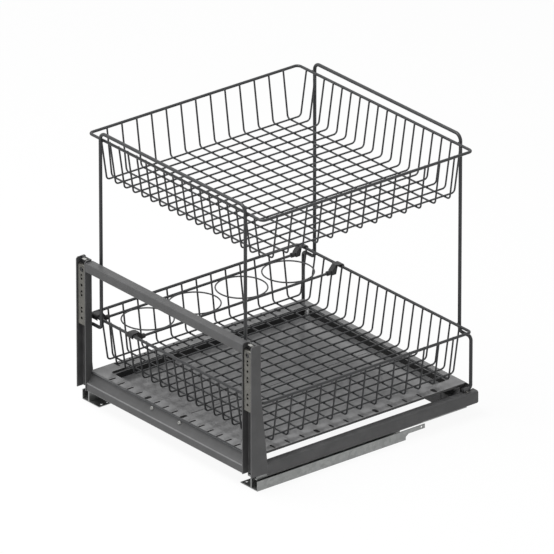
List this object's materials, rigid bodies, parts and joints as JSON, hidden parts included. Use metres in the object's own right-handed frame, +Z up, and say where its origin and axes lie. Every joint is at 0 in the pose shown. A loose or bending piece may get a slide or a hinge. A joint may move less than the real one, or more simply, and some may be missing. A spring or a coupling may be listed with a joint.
{
  "type": "pull out cabinet basket",
  "caption": "Base cabinet pull-out with stacked wire baskets on full-extension runners, a bottle rack, a pressed tray and height-adjustable door plates.",
  "frame": {"origin": "on the cabinet floor, under the middle of the closed pull-out's bounding box", "axes": "+X to the right seen from the door, -Y towards the door and the user, +Z up"},
  "size_m": [0.464, 0.484, 0.4993],
  "materials": {
    "dark_wire": "satin powder coat",
    "dark_sheet": "satin powder coat",
    "grey_sheet": "satin powder coat",
    "galvanised_steel": "galvanised, dull",
    "nickel_steel": "nickel plated",
    "black_plastic": "moulded, matte"
  },
  "bodies": {
    "cabinet_side": {"cabinet_member_left": "galvanised_steel", "cabinet_member_right": "galvanised_steel", "soft_close_left": "black_plastic", "soft_close_right": "black_plastic"},
    "drawer": {"drawer_member_left": "galvanised_steel", "drawer_member_right": "galvanised_steel", "side_rail_left": "dark_sheet", "side_rail_right": "dark_sheet", "rail_caps": "dark_sheet", "front_profile": "dark_sheet", "profile_screws": "nickel_steel", "rear_cross_member": "dark_sheet", "tray": "grey_sheet", "upright_left": "dark_sheet", "upright_right": "dark_sheet", "cross_bar": "dark_sheet", "guide_studs": "nickel_steel", "front_frame": "dark_wire", "rear_frame": "dark_wire", "foot_clamps": "galvanised_steel", "clamp_screws": "nickel_steel", "upper_basket_rim": "dark_wire", "upper_basket_long_wires": "dark_wire", "upper_basket_cross_wires": "dark_wire", "lower_basket_rim": "dark_wire", "lower_basket_long_wires": "dark_wire", "lower_basket_cross_wires": "dark_wire", "rack_rods": "dark_wire", "rack_rings": "dark_wire", "rack_clips": "black_plastic", "latch_base_left": "black_plastic", "latch_base_right": "black_plastic"},
    "middle_left": {"middle_member_left": "galvanised_steel"},
    "lower_cage_left_body": {"lower_cage_left": "black_plastic", "lower_rollers_left": "nickel_steel"},
    "upper_cage_left_body": {"upper_cage_left": "black_plastic", "upper_rollers_left": "nickel_steel"},
    "door_plate_left_body": {"door_plate_left": "nickel_steel"},
    "cam_screw_left_body": {"cam_screw_left": "black_plastic"},
    "latch_left": {"latch_lever_left": "black_plastic"},
    "middle_right": {"middle_member_right": "galvanised_steel"},
    "lower_cage_right_body": {"lower_cage_right": "black_plastic", "lower_rollers_right": "nickel_steel"},
    "upper_cage_right_body": {"upper_cage_right": "black_plastic", "upper_rollers_right": "nickel_steel"},
    "door_plate_right_body": {"door_plate_right": "nickel_steel"},
    "cam_screw_right_body": {"cam_screw_right": "black_plastic"},
    "latch_right": {"latch_lever_right": "black_plastic"}
  },
  "joints": [
    {"name": "drawer_slide", "type": "slide", "parent": "cabinet_side", "child": "drawer", "axis": [0, -1, 0], "range_m": [0, 0.45]},
    {"name": "middle_left_slide", "type": "slide", "parent": "cabinet_side", "child": "middle_left", "axis": [0, -1, 0], "range_m": [0, 0.225]},
    {"name": "lower_cage_left_slide", "type": "slide", "parent": "cabinet_side", "child": "lower_cage_left_body", "axis": [0, -1, 0], "range_m": [0, 0.1125]},
    {"name": "upper_cage_left_slide", "type": "slide", "parent": "cabinet_side", "child": "upper_cage_left_body", "axis": [0, -1, 0], "range_m": [0, 0.3375]},
    {"name": "cam_screw_left_turn", "type": "hinge", "parent": "drawer", "child": "cam_screw_left_body", "pos_m": [-0.21615, -0.23, 0.244], "axis": [0, 1, 0], "range_deg": [-60, 60]},
    {"name": "door_plate_left_lift", "type": "slide", "parent": "drawer", "child": "door_plate_left_body", "axis": [0, 0, 1], "range_m": [-0.002, 0.002]},
    {"name": "latch_left_turn", "type": "hinge", "parent": "drawer", "child": "latch_left", "pos_m": [-0.1909, -0.1968, 0.0267], "axis": [0, 0, -1], "range_deg": [0, 15], "stiffness_Nm_per_rad": 0.02, "springref_deg": -5.73},
    {"name": "middle_right_slide", "type": "slide", "parent": "cabinet_side", "child": "middle_right", "axis": [0, -1, 0], "range_m": [0, 0.225]},
    {"name": "lower_cage_right_slide", "type": "slide", "parent": "cabinet_side", "child": "lower_cage_right_body", "axis": [0, -1, 0], "range_m": [0, 0.1125]},
    {"name": "upper_cage_right_slide", "type": "slide", "parent": "cabinet_side", "child": "upper_cage_right_body", "axis": [0, -1, 0], "range_m": [0, 0.3375]},
    {"name": "cam_screw_right_turn", "type": "hinge", "parent": "drawer", "child": "cam_screw_right_body", "pos_m": [0.21615, -0.23, 0.244], "axis": [0, -1, 0], "range_deg": [-60, 60]},
    {"name": "door_plate_right_lift", "type": "slide", "parent": "drawer", "child": "door_plate_right_body", "axis": [0, 0, 1], "range_m": [-0.002, 0.002]},
    {"name": "latch_right_turn", "type": "hinge", "parent": "drawer", "child": "latch_right", "pos_m": [0.1909, -0.1968, 0.0267], "axis": [0, 0, 1], "range_deg": [0, 15], "stiffness_Nm_per_rad": 0.02, "springref_deg": -5.73}
  ],
  "couplings": [
    {"joint": "middle_left_slide", "follows": "drawer_slide", "ratio": 0.5},
    {"joint": "lower_cage_left_slide", "follows": "drawer_slide", "ratio": 0.25},
    {"joint": "upper_cage_left_slide", "follows": "drawer_slide", "ratio": 0.75},
    {"joint": "cam_screw_left_turn", "follows": "door_plate_left_lift", "rad_per_m": 400},
    {"joint": "middle_right_slide", "follows": "drawer_slide", "ratio": 0.5},
    {"joint": "lower_cage_right_slide", "follows": "drawer_slide", "ratio": 0.25},
    {"joint": "upper_cage_right_slide", "follows": "drawer_slide", "ratio": 0.75},
    {"joint": "cam_screw_right_turn", "follows": "door_plate_right_lift", "rad_per_m": 400}
  ]
}
